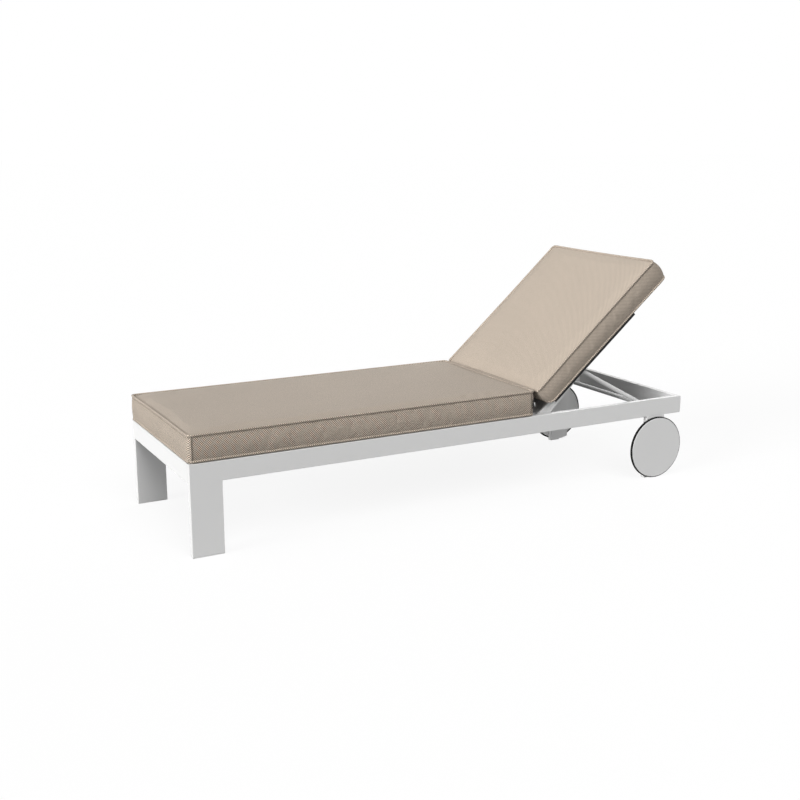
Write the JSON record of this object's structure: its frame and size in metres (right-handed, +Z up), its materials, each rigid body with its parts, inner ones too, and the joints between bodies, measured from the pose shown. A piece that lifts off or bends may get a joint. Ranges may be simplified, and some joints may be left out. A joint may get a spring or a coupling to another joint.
{
  "type": "sun lounger",
  "caption": "Long, low sun lounger: a white metal frame with a hinged, propped back, wheels at the head end and a folding mattress in woven cloth.",
  "frame": {"origin": "on the floor, under the middle of the bounding box", "axes": "+X from the foot end to the head end, +Y from the lounger's left side to its right as the picture shows it (left is the near side), +Z up"},
  "size_m": [2, 0.669, 0.8414],
  "materials": {
    "white_coat": "matt white powder coat",
    "dark_coat": "matt dark powder coat",
    "board": "matt compact laminate",
    "steel": "stainless",
    "white_plastic": "matt",
    "dark_plastic": "matt",
    "wheel_white": "satin",
    "tyre": "matt",
    "cloth": "coarse two-tone basket weave"
  },
  "bodies": {
    "frame": {"foot_rail": "white_coat", "front_leg_left": "white_coat", "front_leg_right": "white_coat", "hinge_nuts": "steel", "hinge_spacer_left": "white_plastic", "hinge_spacer_right": "white_plastic", "hinge_stud_left": "steel", "hinge_stud_right": "steel", "leg_glide_left": "white_plastic", "leg_glide_right": "white_plastic", "post_pad_left": "white_plastic", "post_pad_right": "white_plastic", "rack_left": "white_coat", "rack_right": "white_coat", "rack_screws": "steel", "rear_post_left": "white_coat", "rear_post_right": "white_coat", "rear_rail": "white_coat", "rest_block_left": "white_plastic", "rest_block_right": "white_plastic", "seat_bearer_1": "white_coat", "seat_bearer_2": "white_coat", "seat_bearer_3": "white_coat", "seat_bearer_4": "white_coat", "seat_board": "board", "seat_board_screws": "steel", "seat_cushion": "cloth", "side_rail_left": "white_coat", "side_rail_right": "white_coat", "wheel_axle_left": "steel", "wheel_axle_right": "steel"},
    "backrest": {"back_board": "board", "back_board_screws": "steel", "back_cross_tube_lower": "dark_coat", "back_cross_tube_middle": "dark_coat", "back_cross_tube_upper": "dark_coat", "back_side_tube_left": "dark_coat", "back_side_tube_right": "dark_coat", "hinge_arm_left": "white_coat", "hinge_arm_right": "white_coat", "hinge_bush_left": "white_plastic", "hinge_bush_right": "white_plastic", "prop_pins": "steel", "side_tube_plug_left": "dark_plastic", "side_tube_plug_right": "dark_plastic"},
    "prop": {"prop_arm_left": "white_coat", "prop_arm_right": "white_coat", "prop_cap_left": "white_plastic", "prop_cap_right": "white_plastic", "prop_cross_tube": "white_coat"},
    "back_mattress": {"back_cushion": "cloth"},
    "wheel_left": {"wheel_core_left": "wheel_white", "wheel_tyre_left": "tyre", "wheel_bush_left": "white_plastic", "wheel_cover_left": "wheel_white"},
    "wheel_right": {"wheel_core_right": "wheel_white", "wheel_tyre_right": "tyre", "wheel_bush_right": "white_plastic", "wheel_cover_right": "wheel_white"}
  },
  "joints": [
    {"name": "back_hinge", "type": "hinge", "parent": "frame", "child": "backrest", "pos_m": [0.354, 0, 0.287], "axis": [0, -1, 0], "range_deg": [-40.3, 19.7]},
    {"name": "prop_pivot", "type": "hinge", "parent": "backrest", "child": "prop", "pos_m": [0.54041, 0, 0.45295], "axis": [0, -1, 0], "range_deg": [-32, 65.4]},
    {"name": "mattress_fold", "type": "slide", "parent": "backrest", "child": "back_mattress", "axis": [0.7627, 0, 0.6468], "range_m": [-0.081, 0.0396]},
    {"name": "wheel_left_spin", "type": "hinge", "parent": "frame", "child": "wheel_left", "pos_m": [0.878, -0.33, 0.121], "axis": [0, 1, 0], "continuous": true},
    {"name": "wheel_right_spin", "type": "hinge", "parent": "frame", "child": "wheel_right", "pos_m": [0.878, 0.33, 0.121], "axis": [0, 1, 0], "continuous": true}
  ],
  "couplings": [
    {"joint": "prop_pivot", "follows": "back_hinge", "ratio": -1.62},
    {"joint": "mattress_fold", "follows": "back_hinge", "m_per_rad": 0.115}
  ]
}
